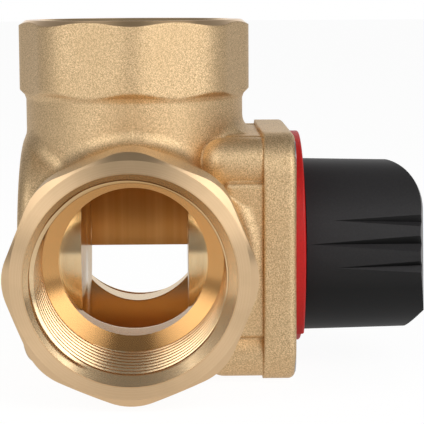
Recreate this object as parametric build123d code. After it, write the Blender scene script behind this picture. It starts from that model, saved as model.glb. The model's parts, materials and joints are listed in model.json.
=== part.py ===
from build123d import *
from math import asin, cos, degrees, pi, radians, sin, tan
import os

# A three-way rotary mixing valve for heating water, size DN25 with 1 inch parallel female threads.
# All sizes are in millimetres. The model is worked out about the point where the three port
# axes cross: X is the rotor and knob axis, Y is the straight run, +Z is the branch port.
# The finished solids are then lowered, so that the origin lies on the branch port's axis, just
# inside its mouth.

# Ports
port_reach = 41.0
origin_depth = 1.0
thread_radius = 16.62
thread_depth = 20.2
mouth_radius = 17.25
port_hole_radius = 12.8
neck_radius = 19.5
neck_inset = 0.5
collar_across_flats = 39.6
collar_length = 14.0
collar_corner_round = 9.0
collar_face_radius = 19.4
collar_chamfer_angle = 36.0
collar_foot_height = 0.3
collar_foot_length = 0.8

# Rotor housing, a blind tapered drum with four flats that is closed by the cover
housing_end_wall = 2.5
housing_joint_wall = 4.0
housing_flat_wall = 1.9
housing_end = -20.0
housing_edge_round = 2.6
seam_round = 3.0
cheek_start = 15.7
cheek_half_width = 13.6
cheek_round = 1.2
joint_face = 22.4
chamber_radius = 19.0
chamber_floor = -17.6

# Cover and its four screws
cover_thickness = 5.6
cover_margin = 5.3
cover_corner_round = 7.0
cover_edge_round = 1.2
spigot_length = 4.8
spigot_clearance = 0.06
cover_seal_cord = 1.8
cover_seal_groove_width = 2.4
cover_seal_inset = 0.9
screw_inset = 2.6
screw_radius = 2.0
screw_clearance = 0.25
screw_head_radius = 3.9
screw_head_height = 2.3
screw_head_land = 0.2
screw_hole_spare = 1.0
screw_length = 14.0
screw_socket_width = 2.5
screw_socket_depth = 1.4
boss_radius = 4.5
boss_length = 10.4
boss_end_round = 3.6
hub_radius = 9.5
hub_recess_radius = 7.8
hub_height = 1.5

# Rotor: two end discs that are joined by one curved wall
rotor_clearance = 0.1
rotor_window_left = -9.0
rotor_window_right = 9.5
rotor_web = 3.0
rotor_rim = 2.4
rotor_wall = 2.8
rotor_wall_middle = 45.0
rotor_wall_half_span = 46.0
rotor_boss_radius = 8.0
rest_turn = -7.3
travel_half = 45.0

# Shaft and what it carries
shaft_radius = 5.0
shaft_running_gap = 0.05
shaft_tang_width = 6.0
shaft_tang_length = 5.4
shaft_collar_radius = 7.5
shaft_collar_thickness = 1.7
shaft_knob_radius = 4.5
shaft_flat_depth = 1.0
shaft_end_chamfer = 0.5
shaft_ring_land = 1.5
shaft_end = 44.0
shaft_seal_cord = 1.3
shaft_seal_groove_width = 1.7
shaft_seal_spacing = 3.4
first_seal_inset = 1.6
washer_thickness = 0.5
bush_radius = 6.6
bush_length = 2.8
ring_thickness = 1.0
ring_groove_depth = 0.8
ring_radius = 6.9
ring_mouth_angle = 70.0
fit_gap = 0.02
seat_gap = 0.05

# Scale plate behind the knob, and its two pins
plate_thickness = 1.7
plate_radius = 20.7
plate_lower_radius = 17.6
plate_upper_half_angle = 132.0
plate_corner_round = 0.8
plate_pin_radius = 1.0
plate_pin_head_radius = 1.8
plate_pin_head_height = 0.35
plate_pin_offset = 11.2
plate_pin_depth = 3.0

# Stop pin, which limits the turn of the knob
stop_pin_radius = 1.5
stop_pin_offset = 11.2
stop_pin_depth = 3.5
stop_pin_stand = 3.5
stop_pin_chamfer = 0.4
stop_gap = 0.15

# Knob
knob_gap = 0.5
knob_radius = 15.65
knob_draft = 1.2
knob_end = 52.1
knob_crown_radius = 60.0
knob_top_round = 9.9
knob_top_round_height = 6.05
knob_bottom_bevel = 3.3
knob_wall = 2.2
knob_cavity_depth = 17.0
knob_hub_radius = 6.8
knob_hub_floor = 1.8
knob_rib_thickness = 1.6
knob_rib_length = 8.0
knob_rib_recess = 0.4
knob_groove_pitch = 15.5
knob_groove_inset = 1.9
long_groove_length = 19.5
long_groove_width = 3.0
long_groove_depth = 1.3
short_groove_length = 15.2
short_groove_width = 2.2
short_groove_depth = 1.0
knob_groove_run_out = 3.0
knob_groove_spare = 1.0
knob_rib_sink = 0.5

# Knob screw, washer and cap
knob_recess_radius = 5.6
knob_screw_radius = 2.0
knob_screw_head_radius = 3.5
knob_screw_head_height = 2.6
knob_screw_head_round = 0.4
knob_screw_reach = 9.5
knob_washer_radius = 4.8
knob_washer_thickness = 0.8
cap_thickness = 1.4
cap_inset = 0.3
cap_edge_round = 0.3

# Places that follow from the sizes above
shoulder_place = port_reach - thread_depth
cover_face = joint_face + cover_thickness
screw_offset = chamber_radius - screw_inset
cover_half_width = screw_offset + cover_margin
housing_end_radius = chamber_radius + housing_end_wall
housing_joint_radius = chamber_radius + housing_joint_wall
housing_flat_offset = chamber_radius + housing_flat_wall
spigot_end = joint_face - spigot_length
spigot_radius = chamber_radius - spigot_clearance
bore_radius = shaft_radius + shaft_running_gap
rotor_radius = chamber_radius - rotor_clearance
rotor_start = chamber_floor + rotor_clearance
shaft_collar_end = spigot_end - washer_thickness - 2 * seat_gap
shaft_collar_start = shaft_collar_end - shaft_collar_thickness
rotor_end = shaft_collar_start - seat_gap
rotor_rim_end = spigot_end - rotor_clearance
plate_face = cover_face + plate_thickness
shaft_shoulder = cover_face + ring_thickness + 2 * seat_gap + shaft_ring_land
knob_start = plate_face + knob_gap
hub_top = shaft_end + seat_gap
recess_floor = hub_top + knob_hub_floor
collar_corner_radius = collar_across_flats / 2 / cos(pi / 8)


def disc_x(radius, start, end, y=0.0, z=0.0):
    """A solid cylinder along X."""
    return extrude(Plane.YZ.offset(start) * Pos(y, z) * Circle(radius), end - start)


def ring_x(outer, inner, start, end):
    """A tube along X, centred on the rotor axis."""
    face = Circle(outer) - Circle(inner)
    return extrude(Plane.YZ.offset(start) * face, end - start)


def turned_x(points):
    """A body of revolution about X from a closed outline of (x, radius) points."""
    return revolve(make_face(Polyline(*points, close=True)), Axis.X)


def turned_z(points):
    """A body of revolution about Z from a closed outline of (radius, z) points."""
    return revolve(make_face(Plane.XZ * Polyline(*points, close=True)), Axis.Z)


def o_ring_x(centre_radius, cord, middle):
    """A rubber ring of round section about X."""
    return revolve(Pos(middle, centre_radius) * Circle(cord / 2), Axis.X)


def wedge(start_angle, end_angle, reach):
    """A flat pie slice in the Y-Z plane, its angles measured from +Y towards +Z."""
    steps = 4
    rim = []
    for step in range(steps + 1):
        angle = radians(start_angle + (end_angle - start_angle) * step / steps)
        rim.append((reach * cos(angle), reach * sin(angle)))
    return Plane.YZ * make_face(Polyline((0, 0), *rim, close=True))


def to_port(shape, name):
    """Turn something made for the branch port, along +Z, to one of the three ports."""
    turns = {"branch": 0, "front": 90, "back": -90}
    return Rot(turns[name], 0, 0) * shape


def port_collar():
    """Octagonal collar of one port: a chamfered face, and a soft foot where it meets the neck."""
    slope = tan(radians(collar_chamfer_angle))
    wide = collar_corner_radius + 2
    collar_start = port_reach - collar_length
    foot_radius = neck_radius + collar_foot_height
    foot_end = collar_start + collar_foot_length
    octagon = RegularPolygon(collar_corner_radius, 8)
    octagon = fillet(octagon.vertices(), collar_corner_round)
    prism = extrude(Pos(0, 0, collar_start) * octagon, collar_length)
    limit = turned_z([
        (0, collar_start),
        (neck_radius, collar_start),
        (foot_radius, foot_end),
        (wide, foot_end + wide - foot_radius),
        (wide, port_reach - (wide - collar_face_radius) * slope),
        (collar_face_radius, port_reach),
        (0, port_reach),
    ])
    return prism & limit


def port_inside():
    """Threaded bore with its mouth chamfer, and the hole on into the chamber."""
    chamfer = mouth_radius - thread_radius
    return turned_z([
        (0, 0),
        (port_hole_radius, 0),
        (port_hole_radius, shoulder_place),
        (thread_radius, shoulder_place),
        (thread_radius, port_reach - chamfer),
        (mouth_radius, port_reach),
        (mouth_radius, port_reach + 1),
        (0, port_reach + 1),
    ])


def screw_places():
    return [(a * screw_offset, b * screw_offset) for a in (-1, 1) for b in (-1, 1)]


def make_housing():
    """The tapered drum round the chamber, with a flat on each of its four sides."""
    drum = turned_x([
        (housing_end, 0),
        (housing_end, housing_end_radius),
        (joint_face, housing_joint_radius),
        (joint_face, 0),
    ])
    drum = fillet(drum.edges().group_by(Axis.X)[0], housing_edge_round)
    flats = Plane.YZ.offset(housing_end - 1) * Rectangle(2 * housing_flat_offset, 2 * housing_flat_offset)
    return drum & extrude(flats, joint_face - housing_end + 2)


def make_cheeks():
    """Two crossed blocks that fill the space between the screw bosses behind the cover."""
    cheeks = []
    for turn in (0, 90):
        block = Box(
            joint_face - cheek_start,
            2 * housing_flat_offset,
            2 * cheek_half_width,
            align=(Align.MIN, Align.CENTER, Align.CENTER),
        )
        rounded = block.edges().filter_by(Axis.X) + block.edges().group_by(Axis.X)[0]
        cheeks.append(Rot(turn, 0, 0) * Pos(cheek_start, 0, 0) * fillet(rounded, cheek_round))
    return cheeks


def make_valve_body():
    """One forging: drum and necks run into each other softly, then collars, bosses and bores."""
    ports = ("front", "back", "branch")
    housing = make_housing()
    neck = extrude(Rot(0, 0, 90) * Circle(neck_radius), port_reach - neck_inset)
    necks = [to_port(neck, name) for name in ports]
    core = housing + necks
    forging = fillet(new_edges(housing, *necks, combined=core), seam_round)
    forging += make_cheeks()
    for y, z in screw_places():
        boss = disc_x(boss_radius, joint_face - boss_length, joint_face, y, z)
        forging += fillet(boss.edges().group_by(Axis.X)[0], boss_end_round)
    for name in ports:
        forging += to_port(port_collar(), name)
    forging -= disc_x(chamber_radius, chamber_floor, joint_face)
    for name in ports:
        forging -= to_port(port_inside(), name)
    hole_end = cover_face - screw_length - screw_hole_spare
    for y, z in screw_places():
        forging -= disc_x(screw_radius + fit_gap, hole_end, joint_face, y, z)
    return forging


def make_cover():
    outline = RectangleRounded(2 * cover_half_width, 2 * cover_half_width, cover_corner_round)
    plate = extrude(Plane.YZ.offset(joint_face) * outline, cover_thickness)
    plate = fillet(plate.edges().group_by(Axis.X)[-1], cover_edge_round)
    plate += disc_x(hub_radius, cover_face, cover_face + hub_height)
    plate += disc_x(spigot_radius, spigot_end, joint_face)
    groove_start = joint_face - cover_seal_inset - cover_seal_groove_width
    groove_floor = chamber_radius - cover_seal_cord
    plate -= ring_x(chamber_radius + 1, groove_floor, groove_start, groove_start + cover_seal_groove_width)
    plate -= disc_x(bore_radius, spigot_end, cover_face + hub_height)
    plate -= disc_x(bush_radius, cover_face - bush_length, cover_face + hub_height)
    plate -= disc_x(hub_recess_radius, cover_face, cover_face + hub_height)
    for y, z in screw_places():
        plate -= screw_shape(screw_clearance, False, y, z)
    plate -= disc_x(stop_pin_radius + fit_gap, cover_face - stop_pin_depth, cover_face, 0, -stop_pin_offset)
    for side in (-1, 1):
        y = side * plate_pin_offset
        plate -= disc_x(plate_pin_radius + fit_gap, cover_face - plate_pin_depth, cover_face, y, 0)
    return plate


def screw_shape(gap, with_socket, y, z):
    """A countersunk screw that is flush with the cover, or the hole that it sits in."""
    shank = screw_radius + gap
    head = screw_head_radius + gap
    start = cover_face - screw_length
    screw = turned_x([
        (start, 0),
        (start, shank),
        (cover_face - screw_head_height, shank),
        (cover_face - screw_head_land, head),
        (cover_face, head),
        (cover_face, 0),
    ])
    if with_socket:
        hexagon = RegularPolygon(screw_socket_width / 2, 6, major_radius=False)
        screw -= extrude(Plane.YZ.offset(cover_face) * hexagon, -screw_socket_depth)
    return Pos(0, y, z) * screw


def make_cover_screws():
    return [screw_shape(0, True, y, z) for y, z in screw_places()]


def make_cover_seal():
    cord = cover_seal_cord - 2 * fit_gap
    middle = joint_face - cover_seal_inset - cover_seal_groove_width / 2
    return o_ring_x(chamber_radius - cover_seal_cord / 2, cord, middle)


def make_rotor():
    rotor = disc_x(rotor_radius, rotor_start, rotor_rim_end)
    window = disc_x(rotor_radius + 1, rotor_window_left, rotor_window_right)
    wall_ring = Plane.YZ.offset(rotor_window_left) * (
        Circle(rotor_radius + 2) - Circle(rotor_radius - rotor_wall)
    )
    slice_face = Pos(rotor_window_left, 0, 0) * wedge(
        rotor_wall_middle - rotor_wall_half_span,
        rotor_wall_middle + rotor_wall_half_span,
        3 * rotor_radius,
    )
    length = rotor_window_right - rotor_window_left
    wall = extrude(wall_ring, length) & extrude(slice_face, length, dir=(1, 0, 0))
    rotor -= window - wall
    inner = rotor_radius - rotor_rim
    rotor -= disc_x(inner, rotor_start, rotor_window_left - rotor_web)
    rotor -= ring_x(inner, rotor_boss_radius, rotor_window_right + rotor_web, rotor_rim_end)
    rotor -= disc_x(rotor_boss_radius + 1, rotor_end, rotor_rim_end)
    slot_floor = rotor_end - shaft_tang_length
    slot = Box(
        shaft_tang_length,
        2 * (shaft_radius + seat_gap),
        shaft_tang_width + 2 * fit_gap,
        align=(Align.MIN, Align.CENTER, Align.CENTER),
    )
    rotor -= Pos(slot_floor, 0, 0) * slot
    return rotor


def seal_places():
    first = spigot_end + first_seal_inset + shaft_seal_groove_width / 2
    return [first, first + shaft_seal_spacing]


def make_shaft():
    """Tang in the rotor, collar, sealed length in the cover, and the end that holds the knob."""
    shaft = disc_x(shaft_radius, shaft_collar_end - 1, shaft_shoulder)
    shaft += disc_x(shaft_collar_radius, shaft_collar_start, shaft_collar_end)
    tang = Box(
        shaft_tang_length,
        2 * shaft_radius,
        shaft_tang_width,
        align=(Align.MAX, Align.CENTER, Align.CENTER),
    )
    tang &= disc_x(shaft_radius, -shaft_tang_length, 0)
    shaft += Pos(shaft_collar_start, 0, 0) * tang
    groove_floor = bore_radius - shaft_seal_cord
    for middle in seal_places():
        start = middle - shaft_seal_groove_width / 2
        shaft -= ring_x(shaft_radius + 1, groove_floor, start, start + shaft_seal_groove_width)
    ring_start = cover_face + seat_gap
    ring_floor = shaft_radius - ring_groove_depth
    shaft -= ring_x(shaft_radius + 1, ring_floor, ring_start, ring_start + ring_thickness + seat_gap)
    end = extrude(knob_bore(0, shaft_shoulder), shaft_end - shaft_shoulder)
    end = chamfer(end.edges().group_by(Axis.X)[-1], shaft_end_chamfer)
    shaft += end
    hole_end = shaft_end - knob_screw_reach - screw_hole_spare
    shaft -= disc_x(knob_screw_radius + fit_gap, hole_end, shaft_end)
    return shaft


def knob_bore(gap, place):
    """The D-shaped section of the shaft's end, or of the hole in the knob."""
    flat = shaft_knob_radius - shaft_flat_depth + gap
    width = 2 * shaft_knob_radius + 2
    below = Pos(0, flat - width / 2) * Rectangle(width, width)
    return Plane.YZ.offset(place) * (Circle(shaft_knob_radius + gap) & below)


def make_shaft_seal(middle):
    groove_floor = bore_radius - shaft_seal_cord
    cord = shaft_seal_cord - 2 * fit_gap
    return o_ring_x(groove_floor + shaft_seal_cord / 2, cord, middle)


def make_thrust_washer():
    start = shaft_collar_end + seat_gap
    return ring_x(shaft_collar_radius, shaft_radius + fit_gap, start, start + washer_thickness)


def make_shaft_bush():
    return ring_x(bush_radius - fit_gap, bore_radius, cover_face - bush_length, cover_face)


def make_retaining_ring():
    """An open spring ring in the shaft's groove, just outside the cover."""
    start = cover_face + seat_gap + seat_gap / 2
    ring = ring_x(ring_radius, shaft_radius - ring_groove_depth + fit_gap, start, start + ring_thickness)
    half = ring_mouth_angle / 2
    mouth = wedge(90 - half, 90 + half, 2 * ring_radius)
    return ring - extrude(Pos(start - 1, 0, 0) * mouth, ring_thickness + 2, dir=(1, 0, 0))


def make_scale_plate():
    """A round plate whose lower part is cut back to a smaller radius."""
    half = plate_upper_half_angle
    upper = Plane.YZ * Circle(plate_radius) & wedge(90 - half, 90 + half, 3 * plate_radius)
    outline = upper + Plane.YZ * Circle(plate_lower_radius)
    plate = extrude(Pos(cover_face, 0, 0) * outline, plate_thickness, dir=(1, 0, 0))
    rims = [e for e in plate.edges().group_by(Axis.X)[-1] if e.length > plate_radius]
    plate = fillet(rims, plate_corner_round / 2)
    plate -= disc_x(hub_radius + seat_gap, cover_face, plate_face)
    plate -= disc_x(stop_pin_radius + fit_gap, cover_face, plate_face, 0, -stop_pin_offset)
    for side in (-1, 1):
        y = side * plate_pin_offset
        plate -= disc_x(plate_pin_radius + fit_gap, cover_face, plate_face, y, 0)
    return plate


def make_plate_pins():
    pins = []
    for side in (-1, 1):
        y = side * plate_pin_offset
        pin = disc_x(plate_pin_radius, cover_face - plate_pin_depth, plate_face, y, 0)
        pin += disc_x(plate_pin_head_radius, plate_face, plate_face + plate_pin_head_height, y, 0)
        pins.append(pin)
    return pins


def make_stop_pin():
    end = plate_face + stop_pin_stand
    pin = disc_x(stop_pin_radius, cover_face - stop_pin_depth, end, 0, -stop_pin_offset)
    return chamfer(pin.edges().group_by(Axis.X)[-1], stop_pin_chamfer)


def knob_radius_at(place):
    return knob_radius - (place - knob_start) * tan(radians(knob_draft))


def knob_outside():
    """Tapered grip with a crowned end, a large round at the top and a bevel at the bottom."""
    tip = knob_end + 1
    grip = turned_x([
        (knob_start, 0),
        (knob_start, knob_radius),
        (tip, knob_radius_at(tip)),
        (tip, 0),
    ])
    top = knob_radius_at(knob_end)
    corner = knob_top_round_height
    start = knob_end - knob_top_round
    start_height = corner + knob_top_round
    bevel = knob_bottom_bevel
    side = make_face(
        Curve() + [
            Polyline(
                (start, start_height),
                (start, 2 * top),
                (knob_start - 1, 2 * top),
                (knob_start - 1, -2 * top),
                (knob_end - bevel - top, -2 * top),
                (knob_end - bevel, -top),
                (knob_end, bevel - top),
                (knob_end, corner),
            ),
            RadiusArc((knob_end, corner), (start, start_height), -knob_top_round),
        ]
    )
    crown_axis = Axis((knob_end - knob_crown_radius, 0, 0), (0, 0, 1))
    crowned = revolve(Plane.XZ * side, crown_axis, 60)
    crowned = crowned.rotate(crown_axis, -30)
    return grip & crowned


def make_knob():
    knob = knob_outside()
    cavity_end = knob_start + knob_cavity_depth
    cavity = turned_x([
        (knob_start, 0),
        (knob_start, knob_radius - knob_wall),
        (cavity_end, knob_radius_at(cavity_end) - knob_wall),
        (cavity_end, 0),
    ])
    knob -= cavity - disc_x(knob_hub_radius, shaft_shoulder, cavity_end)
    knob += make_knob_ribs()
    knob -= extrude(knob_bore(fit_gap, shaft_shoulder), hub_top - shaft_shoulder)
    knob -= disc_x(knob_screw_radius + screw_clearance, hub_top, knob_end)
    knob -= disc_x(knob_recess_radius, recess_floor, knob_end + 1)
    for side in (0, 180):
        for step in (-1, 0, 1):
            if step == 0:
                groove = knob_groove(long_groove_length, long_groove_width, long_groove_depth)
            else:
                groove = knob_groove(short_groove_length, short_groove_width, short_groove_depth)
            knob -= Rot(side + step * knob_groove_pitch, 0, 0) * groove
    return knob


def make_knob_ribs():
    """Two ribs under the knob, which meet the stop pin at the two ends of the travel."""
    pin_angle = degrees(asin((stop_pin_radius + stop_gap + knob_rib_thickness / 2) / stop_pin_offset))
    start = knob_start + knob_rib_recess
    inner = knob_hub_radius - knob_rib_sink
    outer = knob_radius_at(start + knob_rib_length) - knob_wall / 2
    rib = Box(
        knob_rib_length,
        knob_rib_thickness,
        outer - inner,
        align=(Align.MIN, Align.CENTER, Align.MAX),
    )
    rib = Pos(start, 0, -inner) * rib
    turn = travel_half + pin_angle
    return Rot(turn, 0, 0) * rib + Rot(-turn, 0, 0) * rib


def knob_groove(length, width, full_depth):
    """A V-shaped groove on the near side, which deepens and widens towards the knob's end."""
    start = knob_end - knob_groove_inset - length
    finish = knob_end + knob_groove_run_out
    scale = (finish - start) / length
    depth = full_depth * scale
    half = width / 2 * scale
    outer = knob_groove_spare
    start_radius = knob_radius_at(start)
    finish_radius = knob_radius_at(finish)
    spread = half * (depth + outer) / depth
    section = Polyline(
        (-finish_radius + depth, 0),
        (-finish_radius - outer, spread),
        (-finish_radius - outer, -spread),
        close=True,
    )
    tip = Polyline(
        (-start_radius, 0),
        (-start_radius - outer, outer * half / depth),
        (-start_radius - outer, -outer * half / depth),
        close=True,
    )
    wide_end = Plane.YZ.offset(finish) * make_face(section)
    narrow_end = Plane.YZ.offset(start) * make_face(tip)
    return loft([narrow_end, wide_end])


def make_knob_washer():
    face = recess_floor + knob_washer_thickness
    return ring_x(knob_washer_radius, knob_screw_radius + screw_clearance, recess_floor, face)


def make_knob_screw():
    seat = recess_floor + knob_washer_thickness
    top = seat + knob_screw_head_height
    screw = disc_x(knob_screw_radius, shaft_end - knob_screw_reach, seat)
    head = disc_x(knob_screw_head_radius, seat, top)
    head = fillet(head.edges().group_by(Axis.X)[-1], knob_screw_head_round)
    hexagon = RegularPolygon(screw_socket_width / 2, 6, major_radius=False)
    head -= extrude(Plane.YZ.offset(top) * hexagon, -screw_socket_depth)
    return screw + head


def make_knob_cap():
    start = knob_end - cap_inset - cap_thickness
    cap = disc_x(knob_recess_radius - fit_gap, start, start + cap_thickness)
    return fillet(cap.edges().group_by(Axis.X)[-1], cap_edge_round)


def place(shapes, turns):
    """Turn what moves to the pose in which the valve was seen, and set the origin."""
    angle = rest_turn if turns else 0
    solids = []
    for shape in shapes if isinstance(shapes, list) else [shapes]:
        moved = Pos(0, 0, origin_depth - port_reach) * Rot(angle, 0, 0) * shape
        solids.extend(moved.solids())
    return solids[0] if len(solids) == 1 else Compound(children=solids)


inner_seal, outer_seal = seal_places()

fixed_pieces = {
    "valve_body": make_valve_body,
    "cover": make_cover,
    "cover_screws": make_cover_screws,
    "cover_seal": make_cover_seal,
    "shaft_bush": make_shaft_bush,
    "scale_plate": make_scale_plate,
    "plate_pins": make_plate_pins,
    "stop_pin": make_stop_pin,
}
turning_pieces = {
    "rotor": make_rotor,
    "shaft": make_shaft,
    "thrust_washer": make_thrust_washer,
    "inner_shaft_seal": lambda: make_shaft_seal(inner_seal),
    "outer_shaft_seal": lambda: make_shaft_seal(outer_seal),
    "retaining_ring": make_retaining_ring,
    "knob": make_knob,
    "knob_washer": make_knob_washer,
    "knob_screw": make_knob_screw,
    "knob_cap": make_knob_cap,
}

os.makedirs("parts", exist_ok=True)
for name, make in fixed_pieces.items():
    export_step(place(make(), False), f"parts/{name}.step")
for name, make in turning_pieces.items():
    export_step(place(make(), True), f"parts/{name}.step")
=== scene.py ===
import json
import math

import bmesh
import bpy
from mathutils import Matrix, Vector


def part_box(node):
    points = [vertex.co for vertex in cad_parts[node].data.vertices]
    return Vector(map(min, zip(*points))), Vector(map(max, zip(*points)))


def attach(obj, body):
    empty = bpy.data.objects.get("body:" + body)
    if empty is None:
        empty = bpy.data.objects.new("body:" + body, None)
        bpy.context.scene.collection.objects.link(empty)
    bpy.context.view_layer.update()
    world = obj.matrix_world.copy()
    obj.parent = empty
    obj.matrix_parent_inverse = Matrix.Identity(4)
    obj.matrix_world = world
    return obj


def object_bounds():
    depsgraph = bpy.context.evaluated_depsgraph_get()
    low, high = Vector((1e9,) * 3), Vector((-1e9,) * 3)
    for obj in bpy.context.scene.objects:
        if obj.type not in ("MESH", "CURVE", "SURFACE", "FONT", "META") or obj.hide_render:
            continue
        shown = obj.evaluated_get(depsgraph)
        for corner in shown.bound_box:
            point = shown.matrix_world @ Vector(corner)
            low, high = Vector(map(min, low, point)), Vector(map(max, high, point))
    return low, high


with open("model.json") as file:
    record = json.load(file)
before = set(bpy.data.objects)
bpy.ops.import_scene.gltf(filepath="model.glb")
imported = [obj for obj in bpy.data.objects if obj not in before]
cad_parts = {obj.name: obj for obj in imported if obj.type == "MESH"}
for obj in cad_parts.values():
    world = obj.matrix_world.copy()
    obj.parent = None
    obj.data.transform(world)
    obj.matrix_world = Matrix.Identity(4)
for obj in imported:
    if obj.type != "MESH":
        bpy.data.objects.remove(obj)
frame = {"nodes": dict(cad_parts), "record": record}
cad_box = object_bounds()

MM = 0.001


def millimetres(*values):
    return Vector([value * MM for value in values])


# Places of the valve. The three port axes cross at the knob's joint, and every port is alike.
record = frame["record"]
crossing = Vector(record["behaviour"]["joints"][0]["pos_m"])
port = next(mount for mount in record["mounts"] if mount["name"] == "branch_port")
port_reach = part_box("valve_body")[1][2] - crossing.z
bore_radius = port["dims"]["r_mm"] * MM
bore_length = port["dims"]["length_mm"] * MM
floor_level = cad_box[0][2]

# Sizes that only the shading needs, with a margin where a mask has to cover a whole surface
chamber_radius = 19.0 * MM
chamber_margin = 0.25 * MM
bore_margin = 0.8 * MM
bore_start = 11.0 * MM
end_band = 1.1 * MM
edge_rounding = 0.7 * MM
rotor_wall_middle = 0.25 * MM
rotor_wall_half = 9.2 * MM

# A turned face counts as a cone, or as flat, where its normal's part along the port is above these
cone_slope = 0.3
flat_slope = 0.97

# How far the tool tips the normals of the ports' faces and of the shoulders behind the threads
face_lean = 0.10
shoulder_lean = 0.4

# The tool marks follow the radius less this share of the height, on faces and in bores alike
marks_climb = 0.9
marks_pitch = 0.12 * MM

# The forging's parting line, on the neck of the branch
seam_half = 0.2 * MM
seam_start = 19.5 * MM
seam_full = 20.5 * MM
seam_end = port_reach - 13.8 * MM
seam_reach = chamber_radius + 2 * MM

# Thread of 11 turns to the inch. Its rows stand at these shares of the pitch.
thread_pitch = 2.309 * MM
thread_depth = 1.0 * MM
thread_shares = (0.0, 0.12, 0.15, 0.25, 0.35, 0.38, 0.5, 0.62, 0.65, 0.75, 0.85, 0.88)
thread_steepness = 2.2
thread_steps = 144
thread_start = 0.3 * MM
thread_fade = 1.2 * MM
thread_clearance = 0.12 * MM
thread_end_gap = 0.3 * MM
mouth_clearance = 0.03 * MM
mouth_chamfer = 0.63 * MM

# Brass on the forging, as linear red, green and blue
grain_dark = (0.54, 0.365, 0.19)
grain_light = (1.0, 0.755, 0.455)
grain_stain = (0.74, 0.52, 0.28)
turned_dark = (0.81, 0.55, 0.31)
turned_light = (0.92, 0.66, 0.40)
turned_stain = (0.72, 0.50, 0.28)
# Painted shade: darker, browner brass on the chamfers at the ports' mouths
mouth_painted_shade = (0.83, 0.55, 0.30)
bore_brass = (0.98, 0.76, 0.48)
# Painted shade: dark, saturated brass on the shoulders behind the threads
shoulder_painted_shade = (0.73, 0.40, 0.15)
chamber_brass = (1.0, 0.82, 0.52)

# Brass of the threads and of the rotor
thread_dark = (0.86, 0.60, 0.33)
thread_light = (0.97, 0.74, 0.46)
# Painted shade for the threads where they face down
thread_painted_shade = (0.64, 0.40, 0.18)
rotor_dark = (0.94, 0.68, 0.38)
rotor_light = (1.0, 0.82, 0.52)
rotor_rust = (0.90, 0.52, 0.20)
# Painted shade: the rotor's wall between the discs is darker, browner brass, streaked by milling
wall_painted_shade_dark = (0.69, 0.29, 0.07)
wall_painted_shade_light = (0.85, 0.41, 0.13)

# Plastic, rubber and steel
knob_dark = (0.018, 0.017, 0.018)
knob_light = (0.030, 0.029, 0.030)
# Painted shade on the knob where it faces down
knob_painted_shade = (0.0015, 0.0015, 0.0015)
# A painted sheen: the knob's rounded end is a lighter grey
knob_end_painted_sheen = (0.030, 0.030, 0.031)
plate_red = (0.53, 0.003, 0.001)
rubber_black = (0.012, 0.012, 0.012)
bearing_white = (0.55, 0.54, 0.50)
steel_grey = (0.60, 0.60, 0.61)
plastic_variation = 1.35

# Noise is turned, because it fades on a flat face that lies along its grid
noise_turn = (0.4, 0.7, 0.2)

# The photograph's camera: millimetres from the crossing, degrees, and the lens for its sensor
camera_place = (7.73, -315.1, 45.65)
camera_yaw = -1.127
camera_pitch = -7.187
camera_roll = 0.307
camera_lens = 147.5
camera_sensor = 36.0

# Studio levels, where 1 is white. The backdrop fades in with the part of a ray that goes back.
white = (1, 1, 1)
room_strength = 0.2
backdrop_strength = 1.0
backdrop_edge = 0.6
backdrop_full = 0.95
floor_half = 4.0
floor_grey = (0.75, 0.75, 0.75)
floor_glow = 1.1
floor_whiteness = 0.85
floor_mirrored = 0.42


class Tree:
    """A node tree, with short calls for the nodes that are used again and again."""

    def __init__(self, tree):
        self.nodes = tree.nodes
        self.links = tree.links

    def put(self, value, socket):
        """Links another node's socket, or writes a number, a vector or a colour."""
        if isinstance(value, bpy.types.NodeSocket):
            self.links.new(value, socket)
        elif socket.type == "RGBA":
            socket.default_value = (*value, 1)
        else:
            socket.default_value = value

    def add(self, kind, values=None, **settings):
        node = self.nodes.new("ShaderNode" + kind)
        for key, value in settings.items():
            setattr(node, key, value)
        for key, value in (values or {}).items():
            self.put(value, node.inputs[key])
        return node

    def math(self, operation, first, second=0.0, third=0.0):
        node = self.add("Math", {0: first, 1: second, 2: third}, operation=operation)
        return node.outputs[0]

    def above(self, value, limit):
        return self.math("GREATER_THAN", value, limit)

    def below(self, value, limit):
        return self.math("LESS_THAN", value, limit)

    def both(self, first, second):
        """Where two masks hold."""
        return self.math("MULTIPLY", first, second)

    def either(self, first, second):
        """Where at least one of two masks holds."""
        return self.math("MAXIMUM", first, second)

    def size(self, value):
        """The value without its sign."""
        return self.math("ABSOLUTE", value)

    def vector(self, operation, first, second=(0, 0, 0)):
        return self.add("VectorMath", {0: first, 1: second}, operation=operation).outputs[0]

    def split(self, vector):
        return self.add("SeparateXYZ", {0: vector}).outputs

    def ramp(self, factor, low, high, start=0.0, end=1.0, shape="LINEAR"):
        """A value that goes from start to end while the factor goes from low to high."""
        values = {"Value": factor, "From Min": low, "From Max": high, "To Min": start, "To Max": end}
        return self.add("MapRange", values, clamp=True, interpolation_type=shape).outputs[0]

    def blend(self, factor, first, second):
        """A plain value that goes from first to second with the factor."""
        return self.add("Mix", {0: factor, 2: first, 3: second}, data_type="FLOAT").outputs[0]

    def mix(self, factor, first, second):
        """A colour or vector that goes from first to second with the factor."""
        return self.add("Mix", {0: factor, 6: first, 7: second}, data_type="RGBA").outputs[2]


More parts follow.
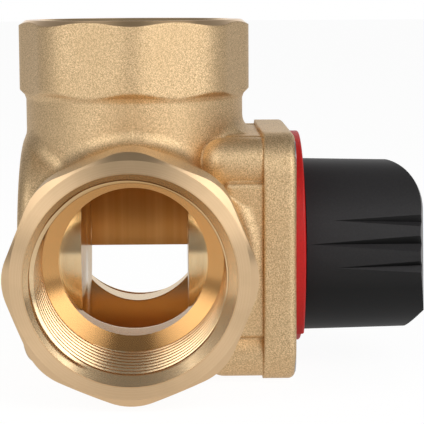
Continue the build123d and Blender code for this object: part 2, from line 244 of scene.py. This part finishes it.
class Graph(Tree):
    """A material and its node tree."""

    socket_names = {
        "colour": "Base Color",
        "metal": "Metallic",
        "rough": "Roughness",
        "specular": "Specular IOR Level",
    }

    def __init__(self, name):
        self.material = bpy.data.materials.new(name)
        self.material.use_nodes = True
        super().__init__(self.material.node_tree)
        self.surface = self.nodes["Principled BSDF"]

    def set(self, **values):
        """Sets the surface's own sockets: numbers, colours or links."""
        for key, value in values.items():
            socket_name = self.socket_names.get(key, key.capitalize())
            self.put(value, self.surface.inputs[socket_name])

    def place(self):
        return self.add("TexCoord").outputs["Object"]

    def centred(self):
        """Place on the object, measured from the point where the port axes cross."""
        return self.vector("SUBTRACT", self.place(), crossing)

    def normal(self):
        return self.add("NewGeometry").outputs["Normal"]

    def noise(self, size, detail=2.0, roughness=0.5, stretch=(1, 1, 1)):
        """Noise whose grains are about size metres across, stretched along the axes."""
        turns = {"Vector": self.place(), "Scale": stretch, "Rotation": noise_turn}
        scaled = self.add("Mapping", turns).outputs[0]
        values = {"Vector": scaled, "Scale": 1 / size, "Detail": detail, "Roughness": roughness}
        return self.add("TexNoise", values).outputs["Fac"]

    def marks(self, distance, pitch):
        """Uneven tool marks, as a function of a distance alone."""
        place = self.add("CombineXYZ", {0: distance}).outputs[0]
        values = {"Vector": place, "Scale": 1 / pitch, "Detail": 3.0}
        return self.add("TexNoise", values).outputs["Fac"]

    def along_marks(self, centred, axis):
        """The direction in which a lathe's marks run round an axis."""
        return self.vector("CROSS_PRODUCT", axis, centred)

    def across_marks(self, centred, axis):
        """The direction across the lathe's marks, in which they spread a highlight."""
        return self.vector("CROSS_PRODUCT", self.normal(), self.along_marks(centred, axis))

    def bump(self, height, strength, distance, normal=None):
        values = {"Height": height, "Strength": strength, "Distance": distance}
        if normal is not None:
            values["Normal"] = normal
        return self.add("Bump", values).outputs[0]


class PortTurning:
    """Where the ports were turned on the lathe, and which way the tool marks run there."""

    def __init__(self, graph):
        centred = graph.centred()
        self.place = graph.split(centred)
        slopes = graph.split(graph.normal())
        squares = [graph.math("MULTIPLY", value, value) for value in self.place]
        from_knob_axis = graph.math("SQRT", graph.math("ADD", squares[1], squares[2]))
        self.in_chamber = graph.below(from_knob_axis, chamber_radius + chamber_margin)
        outside = graph.above(from_knob_axis, chamber_radius + chamber_margin)

        branch_square = graph.math("ADD", squares[0], squares[1])
        run_square = graph.math("ADD", squares[0], squares[2])
        branch = self.ports_on(graph, branch_square, self.place[2], slopes[2], outside)
        run = self.ports_on(graph, run_square, graph.size(self.place[1]), graph.size(slopes[1]), outside)

        self.mask = graph.either(branch["mask"], run["mask"])
        self.end = graph.either(branch["end"], run["end"])
        self.mouth = graph.either(branch["mouth"], run["mouth"])
        self.inner = graph.math("SUBTRACT", self.mask, self.end)
        self.shoulder = graph.both(graph.either(branch["shoulder"], run["shoulder"]), self.inner)
        self.marks = graph.blend(branch["mask"], run["marks"], branch["marks"])

        axis = graph.mix(branch["mask"], (0, 1, 0), (0, 0, 1))
        self.tangent = graph.across_marks(centred, axis)
        radial = graph.vector("CROSS_PRODUCT", graph.along_marks(centred, axis), axis)
        radial = graph.vector("NORMALIZE", radial)
        face = graph.either(branch["face"], run["face"])
        lean = graph.math("MULTIPLY", face, face_lean)
        lean = graph.math("MULTIPLY_ADD", self.inner, -shoulder_lean, lean)
        self.lean = graph.add("VectorMath", {0: radial, "Scale": lean}, operation="SCALE").outputs[0]

    def ports_on(self, graph, square, along, slope, outside):
        """Masks of the ports on one axis, and the distance that their tool marks follow."""
        radius = graph.math("SQRT", square)
        near_end = graph.above(along, port_reach - end_band)
        coned = graph.above(slope, cone_slope)
        end = graph.both(near_end, coned)
        bore = graph.both(graph.below(radius, bore_radius + bore_margin), graph.above(along, bore_start))
        bore = graph.both(bore, outside)
        return {
            "mask": graph.either(end, bore),
            "end": end,
            "face": graph.both(near_end, graph.above(slope, flat_slope)),
            "mouth": graph.both(end, bore),
            "shoulder": graph.both(bore, coned),
            "marks": graph.math("SUBTRACT", radius, graph.math("MULTIPLY", along, marks_climb)),
        }


def parting_line(graph, place):
    """A faint line up the front and the back of the branch's neck, from the housing to the collar."""
    line = graph.ramp(graph.size(place[0]), 0.0, seam_half, start=1.0, end=0.0)
    line = graph.both(line, graph.ramp(place[2], seam_start, seam_full))
    line = graph.both(line, graph.below(place[2], seam_end))
    return graph.both(line, graph.below(graph.size(place[1]), seam_reach))


def forged_brass():
    """Sand-blasted forging with a fine grain, turned smooth at the ports and in the chamber."""
    graph = Graph("forged_brass")
    turning = PortTurning(graph)
    chamber = graph.both(turning.in_chamber, graph.below(graph.size(turning.place[0]), chamber_radius))
    forged = graph.math("SUBTRACT", 1.0, graph.either(turning.mask, chamber))
    grain = graph.noise(0.2 * MM, roughness=0.6)
    patches = graph.noise(7.0 * MM, detail=3.0)
    lines = graph.marks(turning.marks, marks_pitch)

    skin = graph.mix(graph.ramp(grain, 0.36, 0.64), grain_dark, grain_light)
    skin = graph.mix(graph.ramp(patches, 0.35, 0.65, end=0.3), skin, grain_stain)
    bright = graph.mix(graph.ramp(lines, 0.3, 0.7), turned_dark, turned_light)
    bright = graph.mix(graph.ramp(patches, 0.45, 0.6, end=0.3), bright, turned_stain)
    # Painted shade on the chamfers at the ports' mouths
    bright = graph.mix(turning.mouth, bright, mouth_painted_shade)
    bright = graph.mix(turning.inner, bright, bore_brass)
    # Painted shade on the shoulders deep in the bores
    bright = graph.mix(turning.shoulder, bright, shoulder_painted_shade)
    colour = graph.mix(chamber, skin, chamber_brass)
    colour = graph.mix(turning.mask, colour, bright)

    rough = 0.50
    for mask, change in ((turning.end, -0.17), (turning.inner, -0.27), (chamber, -0.25)):
        rough = graph.math("MULTIPLY_ADD", mask, change, rough)

    rounded = graph.add("Bevel", {"Radius": edge_rounding}, samples=6).outputs[0]
    crisp = graph.vector("ADD", graph.normal(), turning.lean)
    normal = graph.mix(turning.mask, rounded, crisp)
    normal = graph.bump(graph.both(grain, forged), strength=0.8, distance=0.06 * MM, normal=normal)
    seam = parting_line(graph, turning.place)
    normal = graph.bump(seam, strength=0.35, distance=0.1 * MM, normal=normal)
    cuts = graph.both(lines, turning.mask)
    normal = graph.bump(cuts, strength=0.2, distance=0.01 * MM, normal=normal)

    graph.set(colour=colour, metal=1.0, rough=rough, normal=normal)
    graph.set(anisotropic=graph.math("MULTIPLY", turning.mask, 0.95), tangent=turning.tangent)
    return graph.material


def thread_brass(name, axis):
    """Cut brass about one port's axis, with painted shade, a darker and browner colour, where it faces
    down.
    """
    graph = Graph(name)
    marks = graph.noise(0.3 * MM)
    upward = graph.split(graph.normal())[2]
    colour = graph.mix(marks, thread_dark, thread_light)
    # Painted shade on the faces that look down
    colour = graph.mix(graph.ramp(upward, 0.0, -0.6), colour, thread_painted_shade)
    graph.set(colour=colour, metal=1.0)
    graph.set(rough=0.25, anisotropic=0.6, tangent=graph.across_marks(graph.centred(), axis))
    graph.set(normal=graph.bump(marks, strength=0.1, distance=0.005 * MM))
    return graph.material


def rotor_brass():
    """Turned about the knob's axis. The wall between the discs shows milling marks and is darker with
    painted shade.
    """
    graph = Graph("rotor_brass")
    centred = graph.centred()
    along = graph.split(centred)[0]
    from_middle = graph.size(graph.math("SUBTRACT", along, rotor_wall_middle))
    wall = graph.below(from_middle, rotor_wall_half)
    marks = graph.noise(0.25 * MM, detail=3.0, stretch=(1, 0.04, 0.04))
    rust = graph.noise(3.0 * MM, detail=3.0)
    streaks = graph.marks(along, 2.5 * MM)
    turned = graph.mix(marks, rotor_dark, rotor_light)
    turned = graph.mix(graph.ramp(rust, 0.3, 0.7, end=0.3), turned, rotor_rust)
    # Painted shade: the milled wall between the discs gets darker, browner brass
    milled_with_painted_shade = graph.mix(graph.ramp(streaks, 0.3, 0.7), wall_painted_shade_dark, wall_painted_shade_light)
    graph.set(colour=graph.mix(wall, turned, milled_with_painted_shade), metal=1.0)
    graph.set(rough=graph.blend(wall, 0.22, 0.28))
    graph.set(normal=graph.bump(marks, strength=0.2, distance=0.01 * MM))
    across = graph.across_marks(centred, (1, 0, 0))
    graph.set(anisotropic=0.9, tangent=graph.mix(wall, across, (0, 0, 1)))
    return graph.material


def moulded_plastic(name, colour, rough, grain):
    graph = Graph(name)
    marks = graph.noise(grain)
    light = tuple(value * plastic_variation for value in colour)
    graph.set(colour=graph.mix(marks, colour, light), rough=rough)
    graph.set(normal=graph.bump(marks, strength=0.4, distance=0.01 * MM))
    return graph.material


def knob_plastic():
    """Grained black plastic, polished on the rounded end and lighter there with a painted sheen, and
    darkest where it faces down with painted shade.
    """
    graph = Graph("knob_plastic")
    marks = graph.noise(0.35 * MM, detail=3.0)
    slopes = graph.split(graph.normal())
    end = graph.ramp(slopes[0], 0.30, 0.36)
    shade = graph.mix(marks, knob_dark, knob_light)
    # Painted shade where the knob faces down
    shade = graph.mix(graph.ramp(slopes[2], 0.1, -0.4), shade, knob_painted_shade)
    # The rounded end gets the lighter colour of the painted sheen
    graph.set(colour=graph.mix(end, shade, knob_end_painted_sheen))
    graph.set(rough=graph.math("MULTIPLY_ADD", end, -0.22, 0.50), specular=0.30)
    graph.set(normal=graph.bump(marks, strength=0.5, distance=0.02 * MM))
    return graph.material


def steel(name):
    graph = Graph(name)
    marks = graph.noise(0.4 * MM)
    graph.set(colour=steel_grey, metal=1.0)
    graph.set(rough=graph.ramp(marks, 0.3, 0.7, start=0.25, end=0.4))
    return graph.material


def dress(nodes, material):
    """Gives one material to solids of the frame."""
    for name in nodes:
        data = frame["nodes"][name].data
        data.materials.clear()
        data.materials.append(material)


def thread_radius_at(share):
    """Radius of a 55 degree thread at a share of its pitch: root at 0, crest at one half."""
    rise = (1 - 4 * abs(share - 0.5)) * thread_steepness
    rise = max(-1.0, min(1.0, rise))
    root = bore_radius - thread_clearance
    return root - thread_depth * (rise + 1) / 2


def thread_point(turn, share, step):
    """A point of the helix about Z. It starts at the crest's radius and opens into the mouth."""
    angle = 2 * math.pi * step / thread_steps
    depth = (turn + share - step / thread_steps) * thread_pitch
    crest = bore_radius - thread_clearance - thread_depth
    cut = max(0.0, min(1.0, (depth - thread_start) / thread_fade))
    lip = bore_radius + mouth_chamfer - mouth_clearance - depth
    radius = max(crest + (thread_radius_at(share) - crest) * cut, lip)
    return (radius * math.cos(angle), radius * math.sin(angle), port_reach - depth)


def thread_surface():
    """A helix about Z from before the mouth to beyond the bore's end, one row for each share."""
    bm = bmesh.new()
    per_turn = len(thread_shares)
    turns = math.ceil(bore_length / thread_pitch) + 3
    rows = []
    for index in range(turns * per_turn + 1):
        whole, part = divmod(index, per_turn)
        points = [thread_point(whole - 1, thread_shares[part], step) for step in range(thread_steps)]
        rows.append([bm.verts.new(point) for point in points])
    for index in range(len(rows) - 1):
        here = rows[index]
        deeper = rows[index + 1]
        for step in range(thread_steps - 1):
            bm.faces.new((here[step], here[step + 1], deeper[step + 1], deeper[step]))
        if index >= per_turn:
            start = rows[index - per_turn][0]
            deeper_start = rows[index - per_turn + 1][0]
            bm.faces.new((here[-1], start, deeper_start, deeper[-1]))
    return bm


def make_thread(name, turn, material):
    """The female thread of one port: the helix, trimmed at both ends and turned to its axis."""
    bm = thread_surface()
    end_depth = mouth_chamfer + bore_length - thread_end_gap
    for depth, facing in ((mouth_clearance, 1), (end_depth, -1)):
        bmesh.ops.bisect_plane(
            bm, geom=[*bm.verts, *bm.edges, *bm.faces],
            plane_co=(0, 0, port_reach - depth), plane_no=(0, 0, facing), clear_outer=True,
        )
    for face in bm.faces:
        face.smooth = True
    bmesh.ops.recalc_face_normals(bm, faces=bm.faces)
    placing = Matrix.Translation(crossing) @ Matrix.Rotation(math.radians(turn), 4, "X")
    bmesh.ops.transform(bm, matrix=placing, verts=bm.verts)
    data = bpy.data.meshes.new(name)
    bm.to_mesh(data)
    bm.free()
    data.materials.append(material)
    piece = bpy.data.objects.new(name, data)
    bpy.context.collection.objects.link(piece)
    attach(piece, "valve")


def make_camera():
    """The photograph's view: a long lens, a little above the rotor's axis."""
    data = bpy.data.cameras.new("camera")
    data.lens = camera_lens
    data.sensor_width = camera_sensor
    data.clip_start = 0.01
    data.clip_end = 20.0
    camera = bpy.data.objects.new("camera", data)
    bpy.context.collection.objects.link(camera)
    turn = Matrix.Rotation(math.radians(camera_yaw), 3, "Z")
    turn = turn @ Matrix.Rotation(math.radians(camera_pitch), 3, "X")
    turn = turn @ Matrix.Rotation(math.radians(camera_roll), 3, "Y")
    level = Matrix.Rotation(math.radians(90), 3, "X")
    place = crossing + millimetres(*camera_place)
    camera.matrix_world = Matrix.Translation(place) @ (turn @ level).to_4x4()
    bpy.context.scene.camera = camera


def make_world():
    """White behind the object where it is seen or mirrored, and a plain soft room in front."""
    world = bpy.data.worlds.new("studio")
    world.use_nodes = True
    bpy.context.scene.world = world
    tree = Tree(world.node_tree)
    tree.nodes.clear()
    direction = tree.split(tree.add("TexCoord").outputs["Generated"])
    levels = {"start": room_strength, "end": backdrop_strength}
    strength = tree.ramp(direction[1], backdrop_edge, backdrop_full, shape="SMOOTHSTEP", **levels)
    light = tree.add("Background", {"Color": white, "Strength": strength}).outputs[0]
    seen = tree.add("Background", {"Color": white}).outputs[0]
    by_camera = tree.add("LightPath").outputs["Is Camera Ray"]
    shown = tree.add("MixShader", {0: by_camera, 1: light, 2: seen}).outputs[0]
    tree.add("OutputWorld", {"Surface": shown})


def area_light(name, place, size, radiance):
    """A soft box that faces the valve. Its radiance is what a mirror would show of it."""
    data = bpy.data.lights.new(name, "AREA")
    data.shape = "RECTANGLE"
    data.size = size[0] * MM
    data.size_y = size[1] * MM
    data.energy = radiance * math.pi * data.size * data.size_y
    lamp = bpy.data.objects.new(name, data)
    bpy.context.collection.objects.link(lamp)
    position = crossing + millimetres(*place)
    aim = crossing - position
    lamp.matrix_world = Matrix.Translation(position) @ aim.to_track_quat("-Z", "Y").to_matrix().to_4x4()


def make_lights():
    area_light("left_box", place=(-425, -472, 338), size=(500, 560), radiance=2.1)
    area_light("right_box", place=(435, -465, 330), size=(520, 580), radiance=2.6)


def make_floor():
    """A pale floor, with white added where the camera sees it and, less, where metal mirrors it."""
    mesh = bpy.data.meshes.new("floor")
    corners = [(-floor_half, -floor_half), (floor_half, -floor_half)]
    corners += [(floor_half, floor_half), (-floor_half, floor_half)]
    mesh.from_pydata([(x, y, floor_level) for x, y in corners], [], [(0, 1, 2, 3)])
    floor = bpy.data.objects.new("floor", mesh)
    bpy.context.collection.objects.link(floor)
    graph = Graph("floor")
    graph.set(colour=floor_grey, rough=0.9)
    glow = graph.add("Emission", {"Color": white, "Strength": floor_glow}).outputs[0]
    path = graph.add("LightPath").outputs
    mirrored = graph.either(path["Is Glossy Ray"], path["Is Transmission Ray"])
    share = graph.math("MULTIPLY", path["Is Camera Ray"], floor_whiteness)
    share = graph.math("MULTIPLY_ADD", mirrored, floor_mirrored, share)
    shown = graph.add("MixShader", {0: share, 1: graph.surface.outputs[0], 2: glow}).outputs[0]
    graph.put(shown, graph.nodes["Material Output"].inputs["Surface"])
    mesh.materials.append(graph.material)


dress(["valve_body", "cover"], forged_brass())
dress(["rotor"], rotor_brass())
dress(["scale_plate"], moulded_plastic("red_plastic", plate_red, rough=0.45, grain=0.4 * MM))
dress(["knob", "knob_cap"], knob_plastic())
dress(
    ["cover_screws", "plate_pins", "stop_pin", "shaft", "retaining_ring", "knob_washer", "knob_screw"],
    steel("bright_steel"),
)
dress(
    ["cover_seal", "inner_shaft_seal", "outer_shaft_seal"],
    moulded_plastic("seal_rubber", rubber_black, rough=0.6, grain=0.3 * MM),
)
dress(
    ["shaft_bush", "thrust_washer"],
    moulded_plastic("bearing_plastic", bearing_white, rough=0.5, grain=0.3 * MM),
)

run_thread_brass = thread_brass("run_thread_brass", (0, 1, 0))
make_thread("branch_thread", 0, thread_brass("branch_thread_brass", (0, 0, 1)))
make_thread("front_thread", 90, run_thread_brass)
make_thread("back_thread", -90, run_thread_brass)

make_camera()
make_world()
make_lights()
make_floor()
bpy.context.scene.view_settings.view_transform = "Standard"
